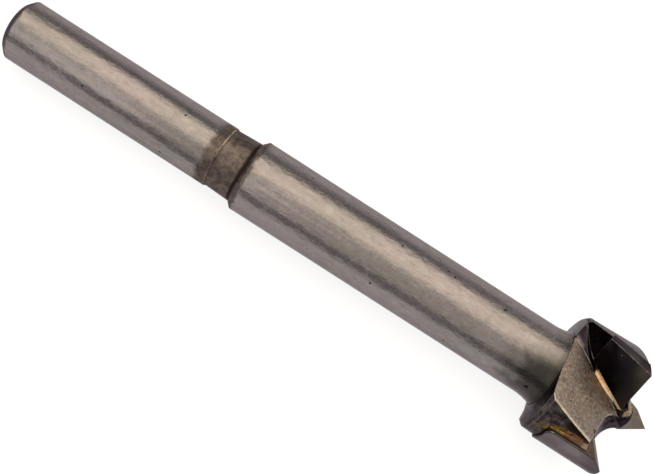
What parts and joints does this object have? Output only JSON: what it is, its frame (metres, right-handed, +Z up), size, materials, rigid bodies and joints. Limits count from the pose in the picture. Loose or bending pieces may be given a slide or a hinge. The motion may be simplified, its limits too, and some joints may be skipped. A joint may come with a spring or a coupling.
{
  "type": "forstner bit",
  "caption": "Carbide-tipped boring bit with a plain round shank: radial cutter, scoring cutter and flat centre point brazed into a stepped steel body, lying at rest.",
  "frame": {"origin": "on the ground, below the middle of the bit as it lies", "axes": "+X from the shank towards the point, +Z up from the ground"},
  "size_m": [0.0892, 0.0158, 0.0134],
  "materials": {
    "steel": "ground shank and body, dark heat-treated head",
    "carbide": "ground tungsten carbide, satin",
    "braze": "flowed braze"
  },
  "bodies": {
    "root": {"bit_body": "steel", "radial_cutter": "carbide", "scoring_cutter": "carbide", "centre_point": "carbide", "cutter_braze": "braze", "scorer_braze": "braze", "point_braze": "braze"}
  },
  "joints": []
}
